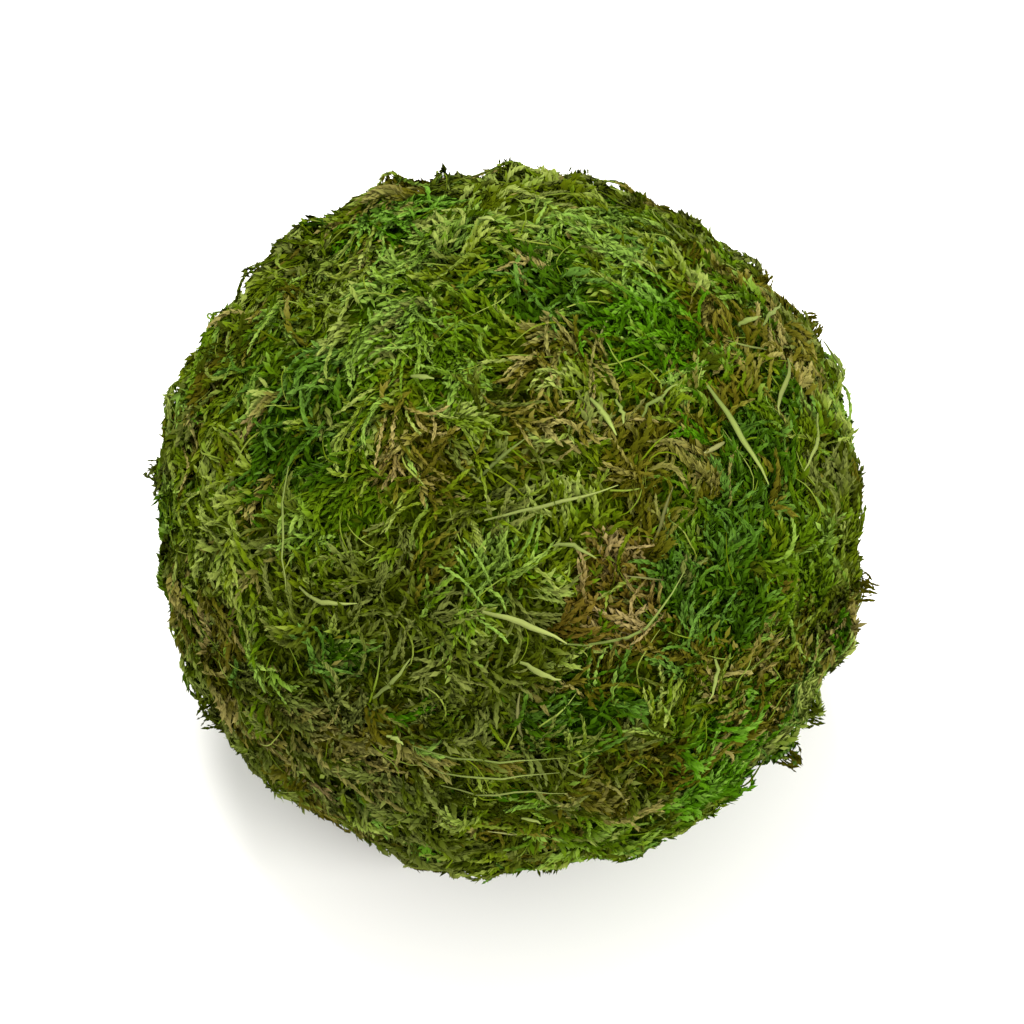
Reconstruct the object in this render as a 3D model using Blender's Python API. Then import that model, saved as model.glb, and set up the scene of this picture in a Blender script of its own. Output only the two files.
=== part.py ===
"""A moss ball: one clump of preserved sheet moss, felted into a ball that rests on its pressed underside.

The moss lies over the ball as short locks. Each lock is rooted low, runs along the surface and ends in a
raised tip, so the form is a lumpy ball with ridges, ledges behind the tips and pits between the locks. A few
tufts stand off the ball. The surface follows the tips of the moss. Metres, +Z up, origin at the middle of
the underside, front towards -Y.
"""

import math

import bmesh
import bpy
import numpy as np
from mathutils import Matrix, Vector, noise

# Driving dimensions
BALL_DIAMETER = 0.080  # across the moss tips
HEIGHT_SHARE = 0.985  # the ball sags a little under its own weight
FOOT_RADIUS = 0.0115  # the underside is pressed flat within this radius
FOOT_DEPTH = 0.0026  # and by this much
SEED = 12

# Lumps of the ball as a whole
LUMP_HEIGHT = 0.0009
LUMPS_ACROSS = 2.6

# Locks of moss
LOCKS = 400
LOCK_LENGTH = (0.0105, 0.0155)
LOCK_WIDTH = (0.0050, 0.0070)
LOCK_HEIGHT = (0.0011, 0.0026)
LOCK_REACH = 0.6 * LOCK_LENGTH[1]  # from a lock's middle past its furthest corner
TIP_SHARPNESS = 2.4  # the larger it is, the nearer to its tip a lock is highest
LOCK_TURN = math.radians(40)  # how far a lock strays from the lie of its neighbours
LOCK_SHAKE = 0.35 / math.sqrt(LOCKS)  # how far a lock's middle strays from an even spread
LIE_ACROSS = 2.1  # how quickly the lie of the moss changes over the ball
LIE_SHIFTS = ((19, 0, 0), (0, 19, 0), (0, 0, 19))  # the noise is read far apart for X, Y and Z

# Tufts that stand off the ball: bearing on its outline as seen from the front and above, and height
SEEN_FROM = math.radians(52)  # above the horizon
TUFTS = (
    (-11, 0.0022),
    (-32, 0.0024),
    (-40, 0.0030),
    (-58, 0.0018),
    (101, 0.0014),
    (172, 0.0012),
    (213, 0.0020),
)
LOOSE_TUFTS = 26  # more of them, all over the ball
LOOSE_TUFT_HEIGHT = (0.0006, 0.0020)
TUFT_RADIUS = 0.0022

# The faceted surface
RIDGE_STEP = 0.0022  # between corners along a lock
FIRST_STEP = 0.75  # share of a step from a lock's root to its first corner
CORNER_GAP = 0.00165  # least distance between corners
FILL_TRIES = 26000

MOSS_COLOUR = (0.072, 0.098, 0.010, 1.0)
MOSS_ROUGHNESS = 0.9

RADIUS = BALL_DIAMETER / 2
VALLEY_RADIUS = RADIUS - (LOCK_HEIGHT[0] + LOCK_HEIGHT[1]) / 2  # between the locks


def unit(vectors):
    return vectors / np.linalg.norm(vectors, axis=-1, keepdims=True)


def spiral_sphere(count):
    """Evenly spread unit vectors on a golden spiral."""
    step = np.arange(count) + 0.5
    height = 1 - 2 * step / count
    ring = np.sqrt(1 - height**2)
    turn = step * math.pi * (3 - math.sqrt(5))
    return np.stack([ring * np.cos(turn), ring * np.sin(turn), height], 1)


def lie_of_moss(place):
    """The direction in which the moss lies at this place on the unit sphere, along the surface."""
    normal = Vector(place)
    flow = Vector([noise.noise(normal * LIE_ACROSS + Vector(shift)) for shift in LIE_SHIFTS])
    return (flow - normal * flow.dot(normal)).normalized()


def make_locks(rng):
    """Each lock's middle and direction on the unit sphere, with its length, width and height."""
    middle = unit(spiral_sphere(LOCKS) + rng.normal(0, LOCK_SHAKE, (LOCKS, 3)))
    turn = rng.uniform(-LOCK_TURN, LOCK_TURN, LOCKS)
    along = np.array(
        [Matrix.Rotation(turn[i], 3, Vector(m)) @ lie_of_moss(m) for i, m in enumerate(middle)]
    )
    return {
        "middle": middle,
        "along": along,
        "across": np.cross(middle, along),
        "length": rng.uniform(*LOCK_LENGTH, LOCKS),
        "width": rng.uniform(*LOCK_WIDTH, LOCKS),
        "height": rng.uniform(*LOCK_HEIGHT, LOCKS),
    }


def make_tufts(rng):
    """The place of each tuft on the unit sphere, and its height."""
    bearing = np.radians([angle for angle, _ in TUFTS])
    up = np.array([0, math.sin(SEEN_FROM), math.cos(SEEN_FROM)])
    on_outline = np.outer(np.cos(bearing), [1, 0, 0]) + np.outer(np.sin(bearing), up)
    loose = unit(rng.normal(0, 1, (LOOSE_TUFTS, 3)))
    heights = [height for _, height in TUFTS]
    return np.concatenate([on_outline, loose]), np.append(
        heights, rng.uniform(*LOOSE_TUFT_HEIGHT, LOOSE_TUFTS)
    )


def lump_height(places):
    """Low swellings of the whole ball."""
    return np.array([noise.noise(Vector(p) * LUMPS_ACROSS) for p in places]) * LUMP_HEIGHT


def lock_height(places, locks):
    """The height above the valleys of the highest lock at each place."""
    highest = np.zeros(len(places))
    for i in range(LOCKS):
        near = np.flatnonzero(places @ locks["middle"][i] > math.cos(LOCK_REACH / RADIUS))
        share = places[near] @ locks["along"][i] * RADIUS / locks["length"][i] + 0.5
        aside = places[near] @ locks["across"][i] * RADIUS / (locks["width"][i] / 2)
        rise = np.sin(math.pi * np.clip(share, 0, 1) ** TIP_SHARPNESS)
        rise = locks["height"][i] * rise * np.clip(1 - aside**2, 0, 1)
        highest[near] = np.maximum(highest[near], rise)
    return highest


def tuft_height(places, tufts):
    """How much the tufts raise each place."""
    raised = np.zeros(len(places))
    for tuft, height in zip(*tufts):
        distance = RADIUS * np.arccos(np.clip(places @ tuft, -1, 1))
        raised = np.maximum(raised, height * np.clip(1 - distance / TUFT_RADIUS, 0, 1))
    return raised


def ridge_corners(locks):
    """Corners along the middle line of every lock, so that facets follow the locks."""
    corners = []
    for i in range(LOCKS):
        steps = round(locks["length"][i] / RIDGE_STEP)
        for share in (np.arange(steps) + FIRST_STEP) / steps:
            offset = (share - 0.5) * locks["length"][i] / RADIUS
            corners.append(locks["middle"][i] + offset * locks["along"][i])
    return unit(np.array(corners))


def spread_out(places):
    """The places in this order, without any that is too close to one already kept."""
    kept = np.empty_like(places)
    count = 0
    nearest = math.cos(CORNER_GAP / RADIUS)
    for place in places:
        if count == 0 or (kept[:count] @ place).max() < nearest:
            kept[count] = place
            count += 1
    return kept[:count]


def moss_material():
    material = bpy.data.materials.new("moss")
    material.use_nodes = True
    shader = material.node_tree.nodes["Principled BSDF"]
    shader.inputs["Base Color"].default_value = MOSS_COLOUR
    shader.inputs["Roughness"].default_value = MOSS_ROUGHNESS
    shader.inputs["Metallic"].default_value = 0.0
    return material


def stood_on_foot(points):
    """Centres the ball's box on the Z axis, and presses its underside flat at Z 0."""
    low, high = points.min(0), points.max(0)
    points = points - [(low[0] + high[0]) / 2, (low[1] + high[1]) / 2, low[2] + FOOT_DEPTH]
    under_foot = (np.hypot(points[:, 0], points[:, 1]) < FOOT_RADIUS) & (points[:, 2] < RADIUS)
    points[:, 2] = np.where(under_foot, 0, np.maximum(points[:, 2], 0))
    return points


def moss_ball():
    """The whole clump as one closed solid."""
    rng = np.random.default_rng(SEED)
    locks = make_locks(rng)
    tufts = make_tufts(rng)
    ball = bmesh.new()
    for corner in spread_out(np.concatenate([tufts[0], ridge_corners(locks), spiral_sphere(FILL_TRIES)])):
        ball.verts.new(corner)
    bmesh.ops.convex_hull(ball, input=ball.verts)
    places = unit(np.array([corner.co for corner in ball.verts]))
    radius = VALLEY_RADIUS + lump_height(places) + lock_height(places, locks) + tuft_height(places, tufts)
    points = places * radius[:, None] * [1, 1, HEIGHT_SHARE]
    for corner, point in zip(ball.verts, stood_on_foot(points)):
        corner.co = point
    bmesh.ops.recalc_face_normals(ball, faces=ball.faces)
    mesh = bpy.data.meshes.new("moss_ball")
    ball.to_mesh(mesh)
    ball.free()
    mesh.shade_smooth()
    mesh.materials.append(moss_material())
    bpy.context.scene.collection.objects.link(bpy.data.objects.new("moss_ball", mesh))


def main():
    for old in list(bpy.data.objects):
        bpy.data.objects.remove(old)
    moss_ball()


main()
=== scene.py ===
"""The looks of a moss ball: a dark felt of old moss, and on it thousands of leafy shoots, thin bare strands
and a few dry stalks, lying in locks over the ball. Every shoot is mesh. All but the tips of a few of them lie
within the solid ball.
"""

import math

import bpy
import numpy as np
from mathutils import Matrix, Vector
from mathutils.bvhtree import BVHTree


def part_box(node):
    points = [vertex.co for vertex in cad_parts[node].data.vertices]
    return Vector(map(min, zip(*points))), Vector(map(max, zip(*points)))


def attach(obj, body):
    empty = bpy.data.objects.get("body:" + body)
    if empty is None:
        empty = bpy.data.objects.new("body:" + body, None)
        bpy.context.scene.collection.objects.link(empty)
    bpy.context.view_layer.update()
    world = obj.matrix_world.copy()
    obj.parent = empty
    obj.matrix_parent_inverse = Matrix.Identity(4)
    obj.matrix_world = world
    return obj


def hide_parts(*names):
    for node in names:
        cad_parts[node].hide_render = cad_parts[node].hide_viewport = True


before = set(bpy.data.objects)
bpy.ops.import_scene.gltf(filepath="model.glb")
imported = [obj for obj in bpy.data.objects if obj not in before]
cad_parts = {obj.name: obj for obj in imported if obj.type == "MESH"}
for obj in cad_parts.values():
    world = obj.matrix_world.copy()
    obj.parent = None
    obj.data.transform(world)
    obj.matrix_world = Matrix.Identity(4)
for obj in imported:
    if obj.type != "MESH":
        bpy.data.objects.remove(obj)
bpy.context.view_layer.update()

MM = 0.001
MICRONS = 1e6  # to a metre
LEAST_LENGTH = 1e-9  # so that no vector is divided by nought
SEARCH_PARTS = 16
SEED = 7

# The camera: the photograph looks down on the ball through a long lens
SEEN_FROM = math.radians(52)  # above the horizon
CAMERA_DISTANCE = 0.95
VIEW_WIDTH = 0.113  # across the picture at the ball's middle
SENSOR = 36.0  # mm

# The studio: a bright room, and lights with their name, place, size across and power
ROOM_LIGHT = 1.12
LIGHTS = (
    ("key", (-0.10, 0.20, 0.96), 0.42, 11.5),
    ("right", (0.60, -0.60, 0.50), 0.4, 8),
    ("left", (-0.60, -0.72, 0.30), 0.4, 1.5),
)
WHITE = (1, 1, 1, 1)
FLOOR_ACROSS = 6
FLOOR_COLOUR = (0.88, 0.87, 0.83, 1)
FLOOR_ROUGHNESS = 0.8
FLOOR_SHINE = 0.1
FLOOR_GLOW = 0.04  # a white floor lit from below, which keeps the shadow as faint as the photograph's

# Noise over the ball comes from a table of random numbers with this many cells on each axis
NOISE_TABLE = 32
NOISE_START = 100  # cells from the table's corner to the ball's middle

# Locks of shoots that lie the same way. The way they lie wanders over the ball
LOCKS = 900
LOCK_SCATTER = 0.5  # how far locks are moved from even places, as a share of their spacing
LOCK_WIDTH = 3.2 * MM
LOCK_LAYERS = 0.7 * MM  # between the lowest locks and the highest
LIE_CELLS = 2.2
LIE_SEED = 20
LIE_ROUND = 0.4  # how much of it goes round the ball, as the camera sees it
LIE_SPREAD = math.radians(34)  # how far a lock strays from the lie of its neighbours
LOCK_SPREAD = math.radians(20)  # how far a wisp strays from its lock
SHADE_CELLS = 13
SHADE_SEED = 41
SHADE_NOISE = 0.08  # how much neighbouring locks differ together
SHADE_SPREAD = 0.09  # how much each differs by itself

# Leafy shoots, which lie side by side in wisps
WISPS = 2700
WISP_SHOOTS = (1, 5)  # the least of them in a wisp, and one more than the most
WISP_WIDTH = 0.9 * MM
WISP_SPREAD = math.radians(7)  # how far a shoot strays from its wisp
WISP_ASIDE = (-0.8, 0.8)  # from the middle of its lock, in widths of a lock
WISP_BACK = (0.1, 0.9)  # how much of a wisp lies behind its lock's middle
WISP_TONE_SHARE = 0.80  # wisps that keep the tone of their lock
WISP_TINT = (0.5, 0.18)  # middle and spread
WISP_SHADE = (0.50, 0.22)
LOW_WISP_AGE_AND_PAINTED_SHADE = 0.16  # how much darker the lowest wisps are than the highest: partly older moss and partly painted shade under the wisps above
HOLLOW_WISP_PAINTED_SHADE = 0.1  # how much darker those in hollows are: painted shade
STRAY_SHARE = 0.18  # wisps that lie across the locks
STRAY_TURN = (-3, 3)  # from the lie of their lock
STRAY_DEPTH = 0.6  # of the depth of others
MAIN_STEPS = 6
MAIN_LENGTH = (3.0 * MM, 7.0 * MM)
MAIN_LENGTH_SHARE = (0.75, 1.15)  # of its wisp's length
MAIN_DEPTH_SPREAD = 0.15 * MM
MAIN_DEPTH_LIMITS = (0.05 * MM, 1.4 * MM)
MAIN_BEND_SPREAD = 0.3  # of the curl
MAIN_ARCH = (0, 0.35 * MM)
MAIN_FREE_SHARE = 0.4  # shoots with a tip that stands free
MAIN_FREE_TIP = (-0.6 * MM, 0)
MAIN_TUCKED_TIP = (0.1 * MM, 0.7 * MM)
MAIN_LOOKS_SPREAD = 0.08  # between the shoots of a wisp, in tint and shade
MAIN_SHADES = (0.1, 0.9)
SHOOT_TINTS = (0.05, 0.95)
SHOOT_SIZE = (0.8, 1.2)
CURL = math.radians(7) / MM  # typical bend of a shoot along its length
WOBBLE = 0.1  # turn at each step

# Branches of those shoots
BRANCHES_EACH = 1.1
BRANCH_STEPS = 4
BRANCH_FORKS = (1, 5)  # the first step of a shoot that has one, and one more than the last
BRANCH_LENGTH = (1.4 * MM, 3.2 * MM)
BRANCH_ANGLE = math.radians(45)
BRANCH_ANGLE_SHARE = (0.6, 1.3)
BRANCH_DEPTH_LIMITS = (0.05 * MM, 2 * MM)
BRANCH_BEND = (0.2, 1.6)  # in curls
BRANCH_TUCK = (-0.4 * MM, 0.4 * MM)
BRANCH_LIGHTER = 0.03
BRANCH_SIZE = 0.85  # of the shoot that carries it

# Stems, and the shade of a tube along its length
STEM_WIDTH = 0.22 * MM
STEM_DARKER = 0.1  # than its leaves
TUBE_SIDES = 3
TUBE_TAPER = (0.8, 0.25)  # width at the root and the tip beside that halfway
TUBE_SHADES = (0.2, 0.8)
TUBE_AGE_AND_PAINTED_SHADE_RISE = 0.35  # from its root to its tip: partly older moss at the root and partly painted shade where it lies under other moss
TUBE_SIDE_TINT = 0.006  # between its sides, so that no face is lost in the map

# Leaves on the shoots, in three rows
LEAF_LENGTH = 1.25 * MM
LEAF_WIDTH = 0.54 * MM
LEAVES_PER_METRE = 3400
LEAST_LEAVES = 5
LEAF_PLACE = (0.2, 0.8)  # in its own part of the shoot
BARE_STEM = 0.03  # share of a shoot below its first leaf
LEAF_ROWS = (1.15, -1.15, 0.0)  # turned from the outer side of the shoot
LEAF_ROW_SPREAD = 0.3
LEAF_ANGLE = math.radians(20)
LEAF_ANGLE_SHARE = (0.55, 1.55)
LEAF_ANGLE_ROOT = 1.15  # at the shoot's root
LEAF_ANGLE_LOSS = 0.55  # from there to its tip
LEAF_SIZE_SHARE = (0.75, 1.2)
LEAF_SIZE_ALONG = ((0, 0.2, 0.75, 1), (0.7, 1, 1, 0.6))
LEAF_WAIST = 0.42  # where a leaf is widest
LEAF_KEEL = 0.3  # how deep it is, beside half the leaf's width
LEAF_HOOK = (0.12, 0.12)  # how far its tip bends in, middle and spread
LEAF_TINT_SPREAD = 0.05
LEAF_SHADE_SPREAD = 0.04
# Leaves grow lighter from a shoot's root to its tip: partly younger moss at the tip and partly painted shade
# at the root
LEAF_AGE_AND_PAINTED_SHADE_RISE = 0.30
LEAF_SHADE_MIDDLE = 0.45  # where along the shoot a leaf has the shoot's own shade

# Tints and shades that a leaf may have, and what its base, its two sides and its tip add to them
LEAF_TINTS = (0.02, 0.98)
LEAF_SHADES = (0.10, 0.88)
LEAF_TINT_STEPS = (0, 0.008, -0.008, 0)
LEAF_SHADE_STEPS = (-0.06, 0, 0, 0.07)

# Plaited shoots on top, with narrower leaves that lie close to their stem
PLAITS = 2500
PLAIT_STEPS = 8
PLAIT_SCATTER = 0.04  # from the middle of its lock, in radii of the ball
PLAIT_SPREAD = 0.5  # how far one strays from its lock
PLAIT_LENGTH = (3.5 * MM, 8.5 * MM)
PLAIT_DEPTH = (0, 0.5 * MM)
PLAIT_BEND = 1.6  # in curls
PLAIT_ARCH = (0, 0.3 * MM)
PLAIT_TUCK = (-0.3 * MM, 0.6 * MM)
PLAIT_ROOT_DEPTH = 1.3 * MM
PLAIT_SHADE = (0.57, 0.19)
PLAIT_SHADES = (0.1, 0.95)
PLAIT_TINT = (0.5, 0.22)
PLAIT_LEAVES_PER_METRE = 4200
PLAIT_ANGLE = math.radians(12)
PLAIT_SHARE = 0.85  # of the width of other leaves

# Single leaves: loose ones that fill the gaps between shoots, and old ones that are matted on the felt
LEAF_SCATTER = 0.8  # how far they are moved from even places, as a share of their spacing
SINGLE_WAIST = 0.45
SINGLE_KEEL = 0.35
SINGLE_HOOK = 0.15
LOOSE_LEAVES = {
    "count": 40000,
    "length": (1.1 * MM, 2.0 * MM),
    "width": (0.38 * MM, 0.58 * MM),
    "depth": (0.8 * MM, 1.4 * MM),
    "stray": 1.2,  # from the lie of the moss
    "rise": (0.12, 0.22),  # how steeply they point out of the ball, middle and spread
    "roll": 0.6,
}
LOOSE_TONE_SHARE = 0.75  # loose leaves that keep the tone of their lock
LOOSE_TINT = (0.5, 0.22)
# Loose leaves are darker than the shoots: painted shade, as they lie under them
LOOSE_SHADE = (0.42, 0.12)
LOOSE_SHADES = (0.05, 0.9)
HOLLOW_LEAF_PAINTED_SHADE = 0.15  # how much darker those in hollows are: painted shade
OLD_LEAVES = {
    "count": 45000,
    "length": (0.9 * MM, 1.8 * MM),
    "width": (0.24 * MM, 0.42 * MM),
    "depth": (1.0 * MM, 1.55 * MM),
    "stray": 1.5,
    "rise": (0.15, 0.25),
    "roll": 0.5,
}
OLD_LEAF_SHADE = (0.5, 0.2)
OLD_LEAF_SHADES = (0.1, 0.88)
OLD_LEAF_LIGHT = (0.6, 1.8)  # from the darkest to the lightest

# Bare strands
STRANDS = 420
STRAND_STEPS = 10
STRAND_SCATTER = 0.6
STRAND_STRAY = 0.9
STRAND_LENGTH = (4 * MM, 11 * MM)
STRAND_WIDTH = (0.15 * MM, 0.29 * MM)
STRAND_DEPTH = (0, 0.5 * MM)
STRAND_BEND = 1.3  # in curls
STRAND_ARCH = (0, 0.4 * MM)
STRAND_TUCK = (0.1 * MM, 1.0 * MM)
STRAND_ROOT_DEPTH = 1.4 * MM
STRAND_TINT = (0.1, 0.9)
STRAND_SHADE = (0.6, 0.15)
STRAND_SHADES = (0.15, 0.95)

# The felt, a fine sphere roughened by coarse noise, fine noise and each corner's own chance
FELT_SUBDIVISIONS = 7
FELT_DEPTH = 1.6 * MM
FELT_ROUGH = 0.3 * MM
FELT_COARSE_CELLS = 28
FELT_COARSE_SEED = 3
FELT_FINE_CELLS = 70
FELT_FINE_SEED = 4
FELT_FINE = 0.6  # beside the coarse noise
FELT_CORNERS = 0.6
FELT_TONE_WIDTH = (-0.35, 0.35)  # within a tone's part of the map
FELT_SHADE = 0.40
# The felt is lighter where it stands higher and darker in its dips: painted shade
FELT_DIP_PAINTED_SHADE = 0.3
FELT_SHADE_SPREAD = 0.12
FELT_SHADES = (0.02, 0.98)
FELT_LIGHT = (0.45, 1.25)

# Depths under the ball's surface
ROOT_DEPTH = 1.6 * MM
ROOT_PART = 0.35  # share of a shoot that rises from its root's depth
PATH_SMOOTHINGS = 2
TIP_START = 0.6  # how far along a shoot its tip begins to tuck in or stand free
LIE_DEPTH = (0.15 * MM, 1.25 * MM)
HOLLOW_DEPTH = 0.7 * MM  # of the hollows between clumps
HOLLOW_CELLS = 12
HOLLOW_SEED = 51
HOLLOW_STEEP = 2.2  # how quickly one deepens
HOLLOW_START = 0.5  # how far into that it begins
PRESS = 0.4 * MM  # moss that would reach lower than this lies pressed against the floor

# Colours as they look in soft light, dark to light from the root of a shoot to its tip, each in a cooler and
# a warmer kind. The darker root is partly older moss and partly painted shade under the moss above it
TONES = {
    "deep_green": (("#223c00", "#365a04", "#5c8230"), ("#2a4200", "#426004", "#688a34")),
    "grass": (("#324c00", "#4f7206", "#80a242"), ("#3e5000", "#60780a", "#90aa48")),
    "yellow_green": (("#3e4e00", "#5b740a", "#8c9e46"), ("#4a5200", "#6a790e", "#9eaa54")),
    "olive": (("#303c00", "#445208", "#6e7a36"), ("#383f00", "#4d580a", "#7a803e")),
    "tan": (("#464800", "#646416", "#96904e"), ("#4e4802", "#6e661e", "#a49658")),
    "brown": (("#3c3e00", "#565a0c", "#868846"), ("#443e02", "#625c12", "#928848")),
    "rust": (("#463e06", "#685c16", "#948652"), ("#4a3e0a", "#6e5e20", "#a08e5a")),
    "fresh_green": (("#305600", "#487a06", "#78a238"), ("#385a00", "#527e08", "#80a63e")),
}
STRAW = (("#445020", "#6e7e3a", "#98a854"), ("#4c4c26", "#787846", "#a6a466"))
COLOUR_GAIN = 0.70  # from those colours to the ones that the shoots themselves have

# Drifts of one kind of moss on the side that the photograph shows: tone, mm right and mm up, mm across
DRIFTS = (
    ("grass", -8, 27, 34),
    ("yellow_green", 8, 30, 26),
    ("yellow_green", -30, 4, 30),
    ("yellow_green", 4, 8, 34),
    ("olive", -14, -10, 30),
    ("olive", -4, -28, 40),
    ("grass", 27, 0, 22),
    ("tan", 29, 24, 16),
    ("tan", 25, 16, 8),
    ("tan", -1, 15, 7),
    ("tan", 7, 8, 10),
    ("tan", -10, 7, 9),
    ("brown", 7, 21, 8),
    ("brown", 20, 10, 9),
    ("brown", 20, 1, 9),
)

# Patches in those drifts
PATCHES = (
    ("grass", -10, 33, 12),
    ("grass", -11, 21, 14),
    ("grass", -26, 17, 13),
    ("fresh_green", 25, -28, 14),
    ("grass", 9, -37, 11),
    ("grass", 12, 34, 10),
    ("yellow_green", -2, 34, 9),
    ("yellow_green", -22, 27, 14),
    ("yellow_green", -35, 0, 12),
    ("yellow_green", -22, 31, 14),
    ("rust", 12, -8, 12),
    ("tan", 27, -16, 10),
    ("yellow_green", 3, -3, 9),
    ("grass", -2, -5, 8),
    ("yellow_green", 10, 1, 7),
    ("olive", 0, -31, 10),
    ("grass", -21, 0, 9),
    ("brown", -17, -26, 13),
    ("brown", 14, -30, 9),
    ("deep_green", -26, 10, 13),
    ("fresh_green", -13, 35, 9),
    ("deep_green", 3, 27, 11),
    ("fresh_green", 17, 22, 11),
    ("deep_green", 30, 6, 10),
    ("deep_green", 27, -1, 8),
    ("deep_green", 23, -8, 13),
    ("deep_green", 8, -22, 9),
    ("deep_green", -22, -16, 7),
    ("tan", 31, -20, 11),
    ("tan", 34, 19, 9),
    ("olive", 38, 5, 10),
    ("yellow_green", 5, 15, 6),
    ("yellow_green", -3, 8, 7),
)

# Lighter areas, and darker ones, partly the moss's own and partly painted light and painted shade that evens
# out
# the lamps: mm right and mm up, mm across, how much lighter
LIGHTER_MOSS_AND_PAINTED_LIGHT = (
    (-1, 34, 12, 0.36),
    (12, 33, 10, 0.46),
    (-13, 32, 16, 0.16),
    (-18, 21, 16, 0.24),
    (32, 21, 12, 0.16),
    (4, 14, 10, 0.14),
    (-21, 10, 9, 0.10),
    (9, 5, 12, 0.04),
    (7, 21, 8, 0.04),
    (17, 21, 10, -0.26),
    (25, 16, 8, -0.16),
    (-13, -2, 16, -0.22),
    (1, 1, 10, 0.04),
    (-33, -3, 16, 0.20),
    (-1, -10, 12, 0.22),
    (-17, -11, 16, 0.14),
    (15, -8, 7, 0.12),
    (8, -11, 7, -0.12),
    (30, 5, 12, -0.14),
    (24, -10, 12, 0.08),
    (31, -12, 11, -0.14),
    (28, -16, 8, -0.08),
    (34, -21, 16, 0.46),
    (20, -22, 10, -0.18),
    (26, -27, 12, -0.16),
    (9, -22, 12, -0.12),
    (-3, -21, 11, 0.14),
    (0, -32, 11, -0.24),
    (12, -32, 9, 0.22),
    (-19, -24, 14, 0.10),
    (-19, -31, 20, 0.30),
    (-32, -21, 12, 0.12),
)

# Dry stalks and blades on that side: both ends in mm right and up, how far they bow between, width in mm and
# shade
STALKS = (
    ((-3.4, -11.0), (6.1, -14.6), 0.3, 0.80, 0.75),
    ((1.0, -16.2), (5.3, -18.2), -0.2, 0.75, 0.65),
    ((22.8, 14.8), (29.5, 3.2), 0.4, 0.95, 0.65),
    ((-24.0, -8.7), (-17.6, -10.2), -0.7, 0.65, 0.75),
    ((9.1, 13.3), (12.1, 9.0), 0.3, 0.80, 0.75),
    ((12.2, 13.2), (13.2, 10.2), 0.2, 0.60, 0.65),
    ((15.0, 11.0), (19.0, 14.8), 0.3, 0.50, 0.50),
    ((5.2, -14.6), (19.6, -6.8), -3.2, 0.42, 0.50),
    ((31.4, 17.4), (30.4, 11.0), 0.3, 0.70, 0.55),
    ((-11.2, 15.2), (-8.8, 14.9), 0.1, 0.70, 0.60),
    ((35.6, 11.4), (33.7, 4.8), 0.4, 0.65, 0.65),
    ((37.2, 20.4), (38.3, 15.4), 0.3, 0.60, 0.40),
    ((22.6, -16.2), (22.0, -21.2), 0.6, 0.60, 0.75),
    ((-13.6, -24.4), (-12.0, -25.6), 0.2, 0.70, 0.80),
    ((-15.4, -20.6), (-11.4, -16.4), -0.3, 0.55, 0.45),
    ((-25.3, 5.0), (-25.2, -9.0), -0.3, 0.34, 0.60),
    ((-11.0, -25.9), (5.8, -27.2), -0.9, 0.34, 0.50),
    ((-9.6, -27.7), (5.2, -28.8), -0.8, 0.34, 0.55),
    ((-7.6, -29.6), (6.0, -30.4), -0.6, 0.34, 0.50),
    ((-3.8, 33.4), (-2.0, 32.8), 0.1, 0.80, 0.85),
    ((1.0, -34.3), (3.4, -34.9), 0.1, 0.60, 0.70),
    ((4.6, -3.8), (9.4, -5.2), 0.6, 0.55, 0.55),
    ((29.0, 21.4), (31.7, 24.5), 0.3, 0.55, 0.60),
    ((26.2, 21.6), (28.6, 22.4), 0.2, 0.70, 0.60),
    ((-3.2, -0.8), (12.0, 3.0), -0.3, 0.45, 0.62),
    ((18.4, 34.0), (20.8, 30.5), 0.3, 0.50, 0.45),
)
STALK_TINT = 0.4  # those are greener than the others
STALK_STEPS = 8
STALK_WOBBLE = 0.0025  # in radii of the ball
STALK_STAND = 0.4 * MM  # above the ball's surface
STALK_LEVEL = 0.5  # how far a stalk bridges the lumps under it
STALK_SIDES = 5
STALK_TAPER = (0.45, 0.2)
STALK_FLAT = 0.55
LOOSE_STALKS = 26  # more of them, all over the ball
LOOSE_STALK_LENGTH = (3 * MM, 9 * MM)
LOOSE_STALK_WIDTH = (0.25 * MM, 0.6 * MM)
LOOSE_STALK_DEPTH = 0.1 * MM
LOOSE_STALK_ROOT_DEPTH = 0.5 * MM
LOOSE_STALK_BEND = 0.3  # in curls
LOOSE_STALK_WOBBLE = 0.02
LOOSE_STALK_TINT = (0.05, 0.95)
LOOSE_STALK_SHADE = (0.2, 0.7)

# Tones of the locks: those of the noise, from its lowest to its highest with the limits between them, and the
# share of locks that take the tone of a drift or a patch
TONE_ORDER = ("brown", "tan", "olive", "yellow_green", "grass", "deep_green")
TONE_LIMITS = (-0.80, -0.50, -0.01, 0.35, 0.80)
TONE_COARSE_CELLS = 2.6
TONE_COARSE_SEED = 31
TONE_FINE_CELLS = 6
TONE_FINE_SEED = 32
TONE_FINE = 0.5  # beside the coarse noise
TONE_SPREAD = 0.35
DRIFT_SHARE = 0.62
PATCH_SHARE = 0.84
AREA_EDGE = 1.5  # how far an area reaches, in halves of its width
AREA_FADE = 2.0  # how quickly it fills from there

# Tufts that stand off the ball, on the solid ball's raised corners
TUFT_CORNER = 0.65 * MM  # how far a tuft's corner stands above the highest corner round it
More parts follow.
